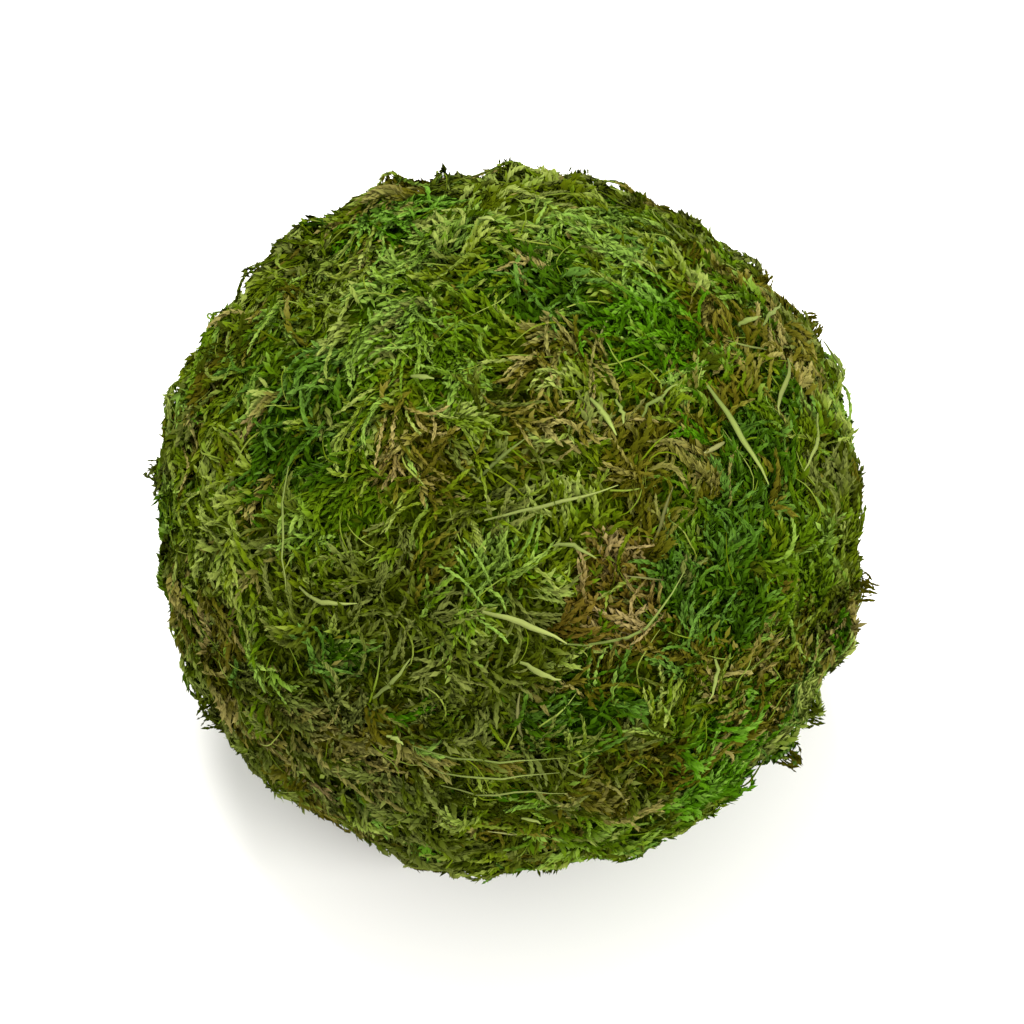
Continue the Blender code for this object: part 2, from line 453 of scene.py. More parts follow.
# Tufts take dark tones and a dark shade: painted shade, as of tufts in shadow
TUFT_TONES = ("brown", "olive")
TUFT_SHOOTS = 16
TUFT_STEPS = 5
TUFT_SPREAD = 1.2 * MM
TUFT_LEAN = (0.2, 1.5)  # in spreads
TUFT_TIP_LEAN = 0.7
TUFT_ROOT_LEAN = 1.3
TUFT_TIP_DEPTH = (0, 1.6 * MM)
TUFT_ROOT_DEPTH = (2.2 * MM, 3.0 * MM)
TUFT_KNEE = 0.3 * MM
TUFT_KNEE_SPREAD = 0.5 * MM
TUFT_TINT = (0.2, 0.8)
TUFT_PAINTED_SHADE = (0, 0.3)
TUFT_SIZE = (0.55, 0.8)
TUFT_ANGLE_SHARE = 0.5  # of the angle of other leaves

# Materials
MOSS_SHINE = 0.02
TONE_STOPS = (0.05, 0.5, 0.95)  # where on the map the three colours of a tone are
MOTTLE_SCALE = 9
MOTTLE_DETAIL = 3
MOTTLE_LIGHT = (0.75, 1.25)
SHOOT_ROUGHNESS = (0.62, 0.92)
GRAIN_SCALE = 60
GRAIN_BUMP = (0.15, 0.05 * MM)  # strength and depth
FIBRE_SCALE = 40
FIBRE_BUMP = (0.3, 0.1 * MM)
FELT_ROUGHNESS = (0.85, 1.0)

rng = np.random.default_rng(SEED)
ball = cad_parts["moss_ball"]
low, high = (np.array(corner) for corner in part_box("moss_ball"))
middle = (low + high) / 2
radius = (high[0] - low[0] + high[1] - low[1]) / 4
ball_tree = BVHTree.FromPolygons(
    [v.co for v in ball.data.vertices], [p.vertices for p in ball.data.polygons]
)
toward_camera = np.array([0, -math.cos(SEEN_FROM), math.sin(SEEN_FROM)])
picture_right = np.array([1.0, 0, 0])
picture_up = np.cross(toward_camera, picture_right)


# Directions and noise on the unit sphere


def unit(vectors):
    return vectors / np.maximum(np.linalg.norm(vectors, axis=-1, keepdims=True), LEAST_LENGTH)


def spiral_sphere(count):
    """Evenly spread unit vectors on a golden spiral."""
    step = np.arange(count) + 0.5
    height = 1 - 2 * step / count
    ring = np.sqrt(1 - height**2)
    turn = step * math.pi * (3 - math.sqrt(5))
    return np.stack([ring * np.cos(turn), ring * np.sin(turn), height], 1)


def scattered(count, scatter, draws):
    """Unit vectors spread over the sphere, each moved by about this share of their spacing."""
    return unit(spiral_sphere(count) + draws.normal(0, scatter / math.sqrt(count), (count, 3)))


def smooth_noise(places, cells, seed):
    """Smooth noise from -1 to 1, with this many cells to a unit."""
    table = np.random.default_rng(seed).uniform(-1, 1, (NOISE_TABLE, NOISE_TABLE, NOISE_TABLE))
    scaled = places * cells + NOISE_START
    cell = np.floor(scaled).astype(int)
    share = scaled - cell
    share = share * share * (3 - 2 * share)
    total = 0
    for x in (0, 1):
        for y in (0, 1):
            for z in (0, 1):
                weight = np.prod(np.where([x, y, z], share, 1 - share), axis=-1)
                at = (cell + [x, y, z]) % NOISE_TABLE
                total = total + weight * table[at[..., 0], at[..., 1], at[..., 2]]
    return total


def along_surface(vectors, places):
    """The parts of the vectors that run along the sphere at these places, as unit vectors."""
    return unit(vectors - places * (vectors * places).sum(-1, keepdims=True))


def turned(ways, places, angles):
    """The ways turned about the sphere's outward direction."""
    angles = np.asarray(angles)[..., None]
    return ways * np.cos(angles) + np.cross(places, ways) * np.sin(angles)


def lie_of_moss(places):
    """The way the moss lies: in drifts, and round the ball near the outline that the photograph shows."""
    flow = np.stack([smooth_noise(places, LIE_CELLS, LIE_SEED + axis) for axis in range(3)], -1)
    return along_surface(flow + LIE_ROUND * np.cross(toward_camera, places), places)


def strayed(places, stray, draws):
    """Ways that stray from the lie of the moss by about this angle."""
    return turned(lie_of_moss(places), places, draws.normal(0, stray, len(places)))


def seen_at(right, up):
    """The place on the sphere that the camera sees this many mm right of the ball's middle and above it."""
    right, up = right * MM / radius, up * MM / radius
    near = math.sqrt(max(1 - right**2 - up**2, 0))
    return unit(right * picture_right + up * picture_up + near * toward_camera)


def away_from(places, right, up, across):
    """How far the places are from the middle of an area in the photograph, in halves of its width."""
    return np.linalg.norm(places - seen_at(right, up), axis=1) * radius / (across / 2 * MM)


def reach(places):
    """How far the ball's surface is from its middle, in each of these directions."""
    start = Vector(middle)
    found = [ball_tree.ray_cast(start, Vector(place))[3] for place in places.reshape(-1, 3)]
    return np.array(found).reshape(places.shape[:-1])


def under_surface(places, depth):
    """Points this deep under the ball's surface at these places."""
    return middle + places * (reach(places) - depth)[:, None]


def hollows(places):
    """How deep the moss lies in the hollows between clumps, from 0 to 1."""
    return np.clip(HOLLOW_STEEP * smooth_noise(places, HOLLOW_CELLS, HOLLOW_SEED) - HOLLOW_START, 0, 1)


def pressed(heights):
    """Heights above the floor, with those that are lowest pressed close together just above it."""
    return np.where(heights < PRESS, PRESS * np.exp(np.minimum(heights / PRESS - 1, 0)), heights)


def nearest(places, marks):
    """The number of the mark nearest to each place, worked out in parts to spare memory."""
    return np.concatenate([(part @ marks.T).argmax(1) for part in np.array_split(places, SEARCH_PARTS)])


def proud_corners():
    """The corners of the solid ball that stand well above the corners round them."""
    whole = np.array([v.co for v in ball.data.vertices])
    places = (whole * MICRONS).round().astype(int)
    _, first, joined = np.unique(places, axis=0, return_index=True, return_inverse=True)
    corners, joined = whole[first], joined.ravel()
    height = np.linalg.norm(corners - middle, axis=1)
    around = np.zeros(len(corners))
    for edge in ball.data.edges:
        a, b = joined[list(edge.vertices)]
        around[a] = max(around[a], height[b])
        around[b] = max(around[b], height[a])
    return corners[height - around > TUFT_CORNER]


# Paths of shoots and strands over the ball


def lay(start, way, length, depth, bend, steps, arch=0.0, tuck=None, root=None, wobble=WOBBLE):
    """Paths over the ball from each start.

    They lie at depth under the surface, bend by this many radians a metre, rise by arch halfway, start at
    the depth of root and end deeper or higher by tuck. Returns each path's points, and its places on the
    sphere and ways along it.
    """
    step = length / (steps - 1)
    angle = (step / radius)[:, None]
    place = start
    places, ways = [place], [way]
    for _ in range(steps - 1):
        way = turned(way, place, bend * step + rng.normal(0, wobble, len(start)))
        place, way = (
            place * np.cos(angle) + way * np.sin(angle),
            way * np.cos(angle) - place * np.sin(angle),
        )
        places.append(place)
        ways.append(way)
    places, ways = np.stack(places, 1), np.stack(ways, 1)
    height = reach(places)
    for _ in range(PATH_SMOOTHINGS):
        padded = np.concatenate([height[:, :1], height, height[:, -1:]], 1)
        height = (padded[:, :-2] + 2 * padded[:, 1:-1] + padded[:, 2:]) / 4
    share = np.linspace(0, 1, steps)
    rise = np.outer(np.broadcast_to(arch, len(start)), np.sin(math.pi * share))
    below = depth[:, None] - rise
    if root is not None:
        below = below + np.outer(root - depth, np.clip(1 - share / ROOT_PART, 0, 1) ** 2)
    if tuck is not None:
        below = below + np.outer(tuck, np.clip((share - TIP_START) / (1 - TIP_START), 0, 1) ** 2)
    points = middle + places * (height - below)[..., None]
    return points, places, ways


def frames_of(points):
    """At each point of each path: the way along it, the way out of the ball and the way across."""
    along = unit(np.gradient(points, axis=1))
    out = along_surface(points - middle, along)
    return along, out, np.cross(along, out)


def read_along(values, which, share):
    """Values of the paths with these numbers, this share of the way along."""
    at = share * (values.shape[1] - 1)
    first = np.minimum(at.astype(int), values.shape[1] - 2)
    part = (at - first)[:, None]
    return values[which, first] * (1 - part) + values[which, first + 1] * part


# Triangles


def tubes(points, width, tint, shade, sides=TUBE_SIDES, taper=TUBE_TAPER, flat=1.0):
    """A tube round each path, as corners, triangles and a tint and shade for each corner.

    Flat is its thickness beside its width. With two sides it is a band.
    """
    count, steps = points.shape[:2]
    _, out, across = frames_of(points)
    share = np.linspace(0, 1, steps)
    shade = np.clip(shade, *TUBE_SHADES)
    girth = np.interp(share, [0, 0.5, 1], [taper[0], 1, taper[1]])
    turn = (np.arange(sides) + 0.25) * 2 * math.pi / sides
    if sides == 2:
        turn = np.array([0, math.pi])
    wide = np.cos(turn)[:, None] * across[:, :, None, :]
    thick = flat * np.sin(turn)[:, None] * out[:, :, None, :]
    corners = points[:, :, None] + (wide + thick) * (width[:, None] / 2 * girth)[:, :, None, None]
    tints = tint[:, None, None] + (np.arange(sides) - 1) * TUBE_SIDE_TINT
    tints = np.broadcast_to(tints, (count, steps, sides))
    # Lighter towards the tip: partly older moss at the root and partly painted shade
    shades = shade[:, None] + TUBE_AGE_AND_PAINTED_SHADE_RISE * (share - 0.5)
    shades = np.broadcast_to(shades[:, :, None], tints.shape)
    number = np.arange(count * steps * sides).reshape(count, steps, sides)
    a, b = number[:, :-1], number[:, 1:]
    c, d = np.roll(b, -1, 2), np.roll(a, -1, 2)
    quads = np.stack([a, b, c, a, c, d], -1)
    if sides == 2:
        quads = quads[:, :, :1]
    return corners.reshape(-1, 3), quads.reshape(-1, 3), np.stack([tints, shades], -1).reshape(-1, 2)


def keeled_leaves(base, ahead, face, long, half, shape, tint, shade):
    """Pointed leaves of two triangles each, as corners, triangles and a tint and shade for each corner.

    Shape says how far along each leaf its waist is, how deep its keel is beside half its width, and how far
    its tip bends in, beside its length. Its four corners differ in looks, so that no face is lost in the map.
    """
    waist_place, keel, hook = shape
    wide = np.cross(ahead, face)
    long, half = long[:, None], half[:, None]
    waist = base + waist_place * long * ahead
    corners = np.stack(
        [
            base,
            waist + half * wide - keel * half * face,
            waist - half * wide - keel * half * face,
            base + long * ahead - hook * long * face,
        ],
        1,
    )
    tints = np.clip(tint, *LEAF_TINTS)[:, None] + np.array(LEAF_TINT_STEPS)
    shades = np.clip(shade, *LEAF_SHADES)[:, None] + np.array(LEAF_SHADE_STEPS)
    number = np.arange(len(base) * 4).reshape(-1, 4)
    triangles = number[:, [0, 1, 3, 0, 3, 2]].reshape(-1, 3)
    return corners.reshape(-1, 3), triangles, np.stack([tints, shades], -1).reshape(-1, 2)


def leaves(points, length, tint, shade, size, per_metre=LEAVES_PER_METRE, spread=LEAF_ANGLE, narrow=1.0):
    """Pointed, keeled leaves in three rows along each path, overlapping towards its tip."""
    draws = np.random.default_rng(SEED)
    along, out, across = frames_of(points)
    counts = np.maximum((length * per_metre).astype(int), LEAST_LEAVES)
    which = np.repeat(np.arange(len(points)), counts)
    count = len(which)
    rank = np.arange(count) - np.repeat(np.cumsum(counts) - counts, counts)
    share = (rank + draws.uniform(*LEAF_PLACE, count)) / counts[which] * (1 - BARE_STEM) + BARE_STEM
    side = np.array(LEAF_ROWS)[rank % len(LEAF_ROWS)] + draws.normal(0, LEAF_ROW_SPREAD, count)
    up = read_along(out, which, share)
    aside = read_along(across, which, share)
    leaning = np.cos(side)[:, None] * up + np.sin(side)[:, None] * aside
    angle = spread * draws.uniform(*LEAF_ANGLE_SHARE, count) * (LEAF_ANGLE_ROOT - LEAF_ANGLE_LOSS * share)
    forward = unit(read_along(along, which, share))
    ahead = forward * np.cos(angle)[:, None] + leaning * np.sin(angle)[:, None]
    grown = size[which] * draws.uniform(*LEAF_SIZE_SHARE, count) * np.interp(share, *LEAF_SIZE_ALONG)
    hook = draws.normal(*LEAF_HOOK, count)[:, None]
    leaf_tint = tint[which] + draws.normal(0, LEAF_TINT_SPREAD, count)
    # Lighter towards the shoot's tip: partly younger moss and partly painted shade at the root
    leaf_shade = shade[which] + LEAF_AGE_AND_PAINTED_SHADE_RISE * (share - LEAF_SHADE_MIDDLE)
    return keeled_leaves(
        read_along(points, which, share),
        ahead,
        along_surface(leaning, ahead),
        LEAF_LENGTH * grown,
        narrow * LEAF_WIDTH / 2 * grown,
        (LEAF_WAIST, LEAF_KEEL, hook),
        leaf_tint,
        leaf_shade + draws.normal(0, LEAF_SHADE_SPREAD, count),
    )


def strewn(kind, places, draws):
    """Single leaves: their bases, the ways they point and face, their lengths and half widths."""
    count = len(places)
    base = under_surface(places, draws.uniform(*kind["depth"], count) + HOLLOW_DEPTH * hollows(places))
    way = strayed(places, kind["stray"], draws)
    ahead = unit(way + draws.normal(*kind["rise"], count)[:, None] * places)
    roll = draws.normal(0, kind["roll"], count)[:, None]
    face = along_surface(places * np.cos(roll) + np.cross(places, way) * np.sin(roll), ahead)
    long = draws.uniform(*kind["length"], count)
    half = draws.uniform(*kind["width"], count) / 2
    return base, ahead, face, long, half


def piece(name, parts, material):
    """One mesh of all the parts. Its map holds each corner's tint and shade, which the material reads."""
    starts = np.cumsum([0] + [len(corners) for corners, _, _ in parts])
    corners = np.concatenate([corners for corners, _, _ in parts])
    triangles = np.concatenate([part[1] + start for part, start in zip(parts, starts)])
    looks = np.concatenate([looks for _, _, looks in parts])
    corners[:, 2] = pressed(corners[:, 2])
    mesh = bpy.data.meshes.new(name)
    mesh.vertices.add(len(corners))
    mesh.vertices.foreach_set("co", corners.astype(np.float32).ravel())
    mesh.loops.add(triangles.size)
    mesh.loops.foreach_set("vertex_index", triangles.astype(np.int32).ravel())
    mesh.polygons.add(len(triangles))
    mesh.polygons.foreach_set("loop_start", np.arange(0, triangles.size, 3, dtype=np.int32))
    mesh.update(calc_edges=True)
    layer = mesh.uv_layers.new(name="OFBake")
    layer.data.foreach_set("uv", looks[triangles.ravel()].astype(np.float32).ravel())
    mesh.materials.append(material)
    made = bpy.data.objects.new(name, mesh)
    bpy.context.scene.collection.objects.link(made)
    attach(made, "root")
    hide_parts("moss_ball")


# Materials


def linear(code):
    """A colour written as #rrggbb, as the shader's numbers."""
    parts = [int(code[i : i + 2], 16) / 255 for i in (1, 3, 5)]
    light = [c / 12.92 if c <= 0.04045 else ((c + 0.055) / 1.055) ** 2.4 for c in parts]
    return [COLOUR_GAIN * c for c in light] + [1.0]


def new_material(name, specular):
    material = bpy.data.materials.new(name)
    material.use_nodes = True
    nodes = material.node_tree.nodes
    shader = nodes["Principled BSDF"]
    shader.inputs["Specular IOR Level"].default_value = specular
    return material, nodes, material.node_tree.links, shader


def read_map(nodes, links):
    """The place on the map, whole, and its parts across the map and up it."""
    place = nodes.new("ShaderNodeUVMap")
    place.uv_map = "OFBake"
    split = nodes.new("ShaderNodeSeparateXYZ")
    links.new(place.outputs[0], split.inputs[0])
    return place.outputs[0], split.outputs["X"], split.outputs["Y"]


def noise_at(nodes, links, place, scale):
    noise = nodes.new("ShaderNodeTexNoise")
    noise.inputs["Scale"].default_value = scale
    links.new(place, noise.inputs["Vector"])
    return noise


def set_range(nodes, links, source, limits, target):
    """Sets the target to the source's value, taken from the range 0 to 1 to these limits."""
    node = nodes.new("ShaderNodeMapRange")
    node.inputs["To Min"].default_value, node.inputs["To Max"].default_value = limits
    links.new(source, node.inputs["Value"])
    links.new(node.outputs[0], target)


def set_bump(nodes, links, source, bump, shader):
    node = nodes.new("ShaderNodeBump")
    node.inputs["Strength"].default_value, node.inputs["Distance"].default_value = bump
    links.new(source, node.inputs["Height"])
    links.new(node.outputs[0], shader.inputs["Normal"])


def ramp(nodes, colours, places):
    node = nodes.new("ShaderNodeValToRGB")
    stops = node.color_ramp.elements
    while len(stops) < len(colours):
        stops.new(0.5)
    for stop, colour, place in zip(stops, colours, places):
        stop.position = place
        stop.color = linear(colour)
    return node


def shoot_material(name, kinds):
    """Colour from the map: across it from cooler moss to warmer, up it from dark to light."""
    material, nodes, links, shader = new_material(name, MOSS_SHINE)
    place, across, up = read_map(nodes, links)
    mottle = noise_at(nodes, links, place, MOTTLE_SCALE)
    mottle.inputs["Detail"].default_value = MOTTLE_DETAIL
    mix = nodes.new("ShaderNodeMix")
    mix.data_type = "RGBA"
    links.new(across, mix.inputs["Factor"])
    for colours, socket in zip(kinds, ("A", "B")):
        tone = ramp(nodes, colours, TONE_STOPS)
        links.new(up, tone.inputs[0])
        links.new(tone.outputs[0], [s for s in mix.inputs if s.name == socket and s.type == "RGBA"][0])
    shift = nodes.new("ShaderNodeHueSaturation")
    set_range(nodes, links, mottle.outputs[0], MOTTLE_LIGHT, shift.inputs["Value"])
    links.new([s for s in mix.outputs if s.type == "RGBA"][0], shift.inputs["Color"])
    links.new(shift.outputs[0], shader.inputs["Base Color"])
    set_range(nodes, links, mottle.outputs[0], SHOOT_ROUGHNESS, shader.inputs["Roughness"])
    grain = noise_at(nodes, links, place, GRAIN_SCALE)
    set_bump(nodes, links, grain.outputs[0], GRAIN_BUMP, shader)
    return material


def felt_material(name, light):
    """Old moss in the gaps: dark and matted. The map holds its tone across, and dark to light up."""
    material, nodes, links, shader = new_material(name, MOSS_SHINE)
    place, across, up = read_map(nodes, links)
    stops = (np.arange(len(TONES)) + 0.5) / len(TONES)
    tone = ramp(nodes, [cool[0] for cool, _ in TONES.values()], stops)
    links.new(across, tone.inputs[0])
    shift = nodes.new("ShaderNodeHueSaturation")
    set_range(nodes, links, up, light, shift.inputs["Value"])
    links.new(tone.outputs[0], shift.inputs["Color"])
    links.new(shift.outputs[0], shader.inputs["Base Color"])
    fibres = noise_at(nodes, links, place, FIBRE_SCALE)
    set_range(nodes, links, fibres.outputs[0], FELT_ROUGHNESS, shader.inputs["Roughness"])
    set_bump(nodes, links, fibres.outputs[0], FIBRE_BUMP, shader)
    return material


# The locks and their tones


def tone_of_locks(places):
    """The tone of each lock: patches where the photograph shows them, and drifts of like colour elsewhere."""
    draws = np.random.default_rng(SEED)
    names = list(TONES)
    coarse = smooth_noise(places, TONE_COARSE_CELLS, TONE_COARSE_SEED)
    fine = smooth_noise(places, TONE_FINE_CELLS, TONE_FINE_SEED)
    green = coarse + TONE_FINE * fine + draws.normal(0, TONE_SPREAD, len(places))
    tones = np.array([names.index(TONE_ORDER[i]) for i in np.digitize(green, TONE_LIMITS)])
    for share, areas in ((DRIFT_SHARE, DRIFTS), (PATCH_SHARE, PATCHES)):
        for tone, right, up, across in areas:
            inside = AREA_FADE * (AREA_EDGE - away_from(places, right, up, across))
            chosen = draws.random(len(places)) < np.clip(inside, 0, share)
            tones[chosen] = names.index(tone)
    return tones


lock_places = scattered(LOCKS, LOCK_SCATTER, rng)
lock_ways = strayed(lock_places, LIE_SPREAD, rng)
lock_tones = tone_of_locks(lock_places)
lock_layers = rng.uniform(0, LOCK_LAYERS, LOCKS)
lock_shades = SHADE_NOISE * smooth_noise(lock_places, SHADE_CELLS, SHADE_SEED)
lock_shades += rng.normal(0, SHADE_SPREAD, LOCKS)
# Lighter and darker areas, partly the moss's own and partly painted light and painted shade
for right, up, across, lighter in LIGHTER_MOSS_AND_PAINTED_LIGHT:
    lock_shades += lighter * np.clip(AREA_EDGE - away_from(lock_places, right, up, across), 0, 1)


# The felt


def felt_tone(places, draws):
    """Where on the felt's map the tone of the nearest lock is."""
    tone = lock_tones[nearest(places, lock_places)] + 0.5
    return (tone + draws.uniform(*FELT_TONE_WIDTH, len(places))) / len(TONES)


def make_felt():
    bpy.ops.mesh.primitive_ico_sphere_add(subdivisions=FELT_SUBDIVISIONS, radius=1)
    felt = bpy.context.object
    felt.name = felt.data.name = "moss_felt"
    places = np.empty(len(felt.data.vertices) * 3, np.float32)
    felt.data.vertices.foreach_get("co", places)
    places = unit(places.reshape(-1, 3).astype(float))
    coarse = smooth_noise(places, FELT_COARSE_CELLS, FELT_COARSE_SEED)
    fine = smooth_noise(places, FELT_FINE_CELLS, FELT_FINE_SEED)
    rough = coarse + FELT_FINE * fine + rng.normal(0, FELT_CORNERS, len(places))
    points = under_surface(places, FELT_DEPTH - FELT_ROUGH * rough + HOLLOW_DEPTH * hollows(places))
    points[:, 2] = pressed(points[:, 2])
    felt.data.vertices.foreach_set("co", points.astype(np.float32).ravel())
    tone = felt_tone(places, rng)
    # Darker in the felt's dips: painted shade
    shade = FELT_SHADE + FELT_DIP_PAINTED_SHADE * rough + rng.normal(0, FELT_SHADE_SPREAD, len(places))
    looks = np.stack([tone, np.clip(shade, *FELT_SHADES)], 1)
    felt.data.uv_layers.remove(felt.data.uv_layers[0])
    layer = felt.data.uv_layers.new(name="OFBake")
    corner = np.empty(len(felt.data.loops), np.int32)
    felt.data.loops.foreach_get("vertex_index", corner)
    layer.data.foreach_set("uv", looks[corner].astype(np.float32).ravel())
    felt.data.shade_smooth()
    felt.data.materials.append(felt_material("old moss felt", FELT_LIGHT))
    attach(felt, "root")
    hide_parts("moss_ball")


def make_old_leaves():
    """Leaves that lie every way on the felt, darker than those above them."""
    draws = np.random.default_rng(SEED)
    places = scattered(OLD_LEAVES["count"], LEAF_SCATTER, draws)
    leaf = strewn(OLD_LEAVES, places, draws)
    tone = felt_tone(places, draws)
    shade = np.clip(draws.normal(*OLD_LEAF_SHADE, len(places)), *OLD_LEAF_SHADES)
    part = keeled_leaves(*leaf, (SINGLE_WAIST, SINGLE_KEEL, SINGLE_HOOK), tone, shade)
    piece("old_leaves", [part], felt_material("old leaves", OLD_LEAF_LIGHT))


# The leafy shoots


def main_shoots():
    """Shoots that lie over the ball in wisps, and the wisps in locks, as a dict of their paths and looks."""
    lock = np.arange(WISPS) % LOCKS
    stray = rng.random(WISPS) < STRAY_SHARE
    turn = np.where(stray, rng.uniform(*STRAY_TURN, WISPS), rng.normal(0, LOCK_SPREAD, WISPS))
    length = rng.uniform(*MAIN_LENGTH, WISPS)
    aside = rng.uniform(*WISP_ASIDE, WISPS) * LOCK_WIDTH
    back = rng.uniform(*WISP_BACK, WISPS) * length
    across = np.cross(lock_places[lock], lock_ways[lock])
    middles = unit(
        lock_places[lock] + across * (aside / radius)[:, None] - lock_ways[lock] * (back / radius)[:, None]
    )
    ways = along_surface(turned(lock_ways[lock], lock_places[lock], turn), middles)
    layer = rng.uniform(*LIE_DEPTH, WISPS) * np.where(stray, STRAY_DEPTH, 1)
    hollow = hollows(middles)
    bend = rng.normal(0, CURL, WISPS)
    # Most wisps keep the tone of their lock, and the rest are mixed in from anywhere
    keeps = rng.random(WISPS) < WISP_TONE_SHARE
    tone = np.where(keeps, lock_tones[lock], lock_tones[rng.permutation(WISPS) % LOCKS])
    shade = rng.normal(*WISP_SHADE, WISPS) + lock_shades[lock]
    # Lower wisps are darker, partly as older moss and partly as painted shade, and those in hollows as
    # painted shade
    shade = shade - LOW_WISP_AGE_AND_PAINTED_SHADE * (layer / LIE_DEPTH[1] - 0.5) - HOLLOW_WISP_PAINTED_SHADE * hollow
    tint = rng.normal(*WISP_TINT, WISPS)

    wisp = np.repeat(np.arange(WISPS), rng.integers(*WISP_SHOOTS, WISPS))
    count = len(wisp)
    beside = np.cross(middles, ways)[wisp] * rng.normal(0, WISP_WIDTH / 2 / radius, count)[:, None]
    ahead = ways[wisp] * rng.normal(0, WISP_WIDTH / radius, count)[:, None]
    start = unit(middles[wisp] + beside + ahead)
    depth = layer[wisp] + lock_layers[lock[wisp]] - LOCK_LAYERS / 2 + rng.normal(0, MAIN_DEPTH_SPREAD, count)
    depth = np.clip(depth, *MAIN_DEPTH_LIMITS) + HOLLOW_DEPTH * hollow[wisp]
    free = rng.random(count) < MAIN_FREE_SHARE
    points, places, ways = lay(
        start,
        along_surface(turned(ways[wisp], start, rng.normal(0, WISP_SPREAD, count)), start),
        length[wisp] * rng.uniform(*MAIN_LENGTH_SHARE, count),
        depth,
        bend[wisp] + rng.normal(0, MAIN_BEND_SPREAD * CURL, count),
        MAIN_STEPS,
        arch=rng.uniform(*MAIN_ARCH, count),
        tuck=np.where(free, rng.uniform(*MAIN_FREE_TIP, count), rng.uniform(*MAIN_TUCKED_TIP, count)),
        root=np.full(count, ROOT_DEPTH),
    )
    return {
        "points": points,
        "places": places,
        "ways": ways,
        "length": length[wisp],
        "tone": tone[wisp],
        "tint": np.clip(tint[wisp] + rng.normal(0, MAIN_LOOKS_SPREAD, count), *SHOOT_TINTS),
        "shade": np.clip(shade[wisp] + rng.normal(0, MAIN_LOOKS_SPREAD, count), *MAIN_SHADES),
        "size": rng.uniform(*SHOOT_SIZE, count),
    }


def branches_of(shoots):
    shoot_count = len(shoots["length"])
    count = int(shoot_count * BRANCHES_EACH)
    parent = rng.integers(0, shoot_count, count)
    fork = rng.integers(*BRANCH_FORKS, count)
    hand = np.where(rng.random(count) < 0.5, 1, -1)
    places = shoots["places"][parent, fork]
    turn = hand * BRANCH_ANGLE * rng.uniform(*BRANCH_ANGLE_SHARE, count)
    length = rng.uniform(*BRANCH_LENGTH, count)
    here = np.linalg.norm(shoots["points"][parent, fork] - middle, axis=1)
    points, _, _ = lay(
        places,
        turned(shoots["ways"][parent, fork], places, turn),
        length,
        np.clip(reach(places) - here, *BRANCH_DEPTH_LIMITS),
        -hand * rng.uniform(*BRANCH_BEND, count) * CURL,
        BRANCH_STEPS,
        tuck=rng.uniform(*BRANCH_TUCK, count),
    )
    return {
        "points": points,
        "length": length,
        "tone": shoots["tone"][parent],
        "tint": shoots["tint"][parent],
        "shade": shoots["shade"][parent] + BRANCH_LIGHTER,
        "size": shoots["size"][parent] * BRANCH_SIZE,
    }


def plaits():
    """Longer plaited shoots that lie on top, each with a lighter tip: partly younger moss, partly painted
    shade.
    """
    count = PLAITS
    lock = rng.integers(0, LOCKS, count)
    near_lock = lock_places[lock] + rng.normal(0, PLAIT_SCATTER, (count, 3))
    way = turned(lock_ways[lock], lock_places[lock], rng.normal(0, PLAIT_SPREAD, count))
    length = rng.uniform(*PLAIT_LENGTH, count)
    start = unit(near_lock - way * (length / 2 / radius)[:, None])
    points, _, _ = lay(
        start,
        along_surface(way, start),
        length,
        rng.uniform(*PLAIT_DEPTH, count),
        rng.normal(0, PLAIT_BEND * CURL, count),
        PLAIT_STEPS,
        arch=rng.uniform(*PLAIT_ARCH, count),
        tuck=rng.uniform(*PLAIT_TUCK, count),
        root=np.full(count, PLAIT_ROOT_DEPTH),
    )
    shade = rng.normal(*PLAIT_SHADE, count) + lock_shades[lock]
    return {
        "points": points,
        "length": length,
        "tone": lock_tones[lock],
        "tint": np.clip(rng.normal(*PLAIT_TINT, count), *SHOOT_TINTS),
        "shade": np.clip(shade, *PLAIT_SHADES),
        "size": rng.uniform(*SHOOT_SIZE, count),
    }


def tuft_shoots():
    """Short shoots that point outward to each of the solid ball's raised corners."""
    tips = proud_corners()
    tuft = np.repeat(np.arange(len(tips)), TUFT_SHOOTS)
    count = len(tuft)
    out = unit(tips[tuft] - middle)
    lean = along_surface(rng.normal(0, 1, (count, 3)), out)
    lean = lean * rng.uniform(*TUFT_LEAN, count)[:, None] * TUFT_SPREAD
    tip = tips[tuft] + TUFT_TIP_LEAN * lean - out * rng.uniform(*TUFT_TIP_DEPTH, count)[:, None]
    root = tips[tuft] + TUFT_ROOT_LEAN * lean - out * rng.uniform(*TUFT_ROOT_DEPTH, count)[:, None]
    knee = (tip + root) / 2 + out * TUFT_KNEE + rng.normal(0, TUFT_KNEE_SPREAD, (count, 3))
    share = np.linspace(0, 1, TUFT_STEPS)[None, :, None]
    points = root[:, None] * (1 - share) ** 2 + knee[:, None] * 2 * share * (1 - share)
    points = points + tip[:, None] * share**2
    names = list(TONES)
    tone = rng.choice([names.index(name) for name in TUFT_TONES], len(tips))
    return {
        "points": points,
        "length": np.linalg.norm(tip - root, axis=1),
        "tone": tone[tuft],
        "tint": rng.uniform(*TUFT_TINT, count),
        # Dark: painted shade
        "shade": rng.uniform(*TUFT_PAINTED_SHADE, count),
        "size": rng.uniform(*TUFT_SIZE, count),
    }


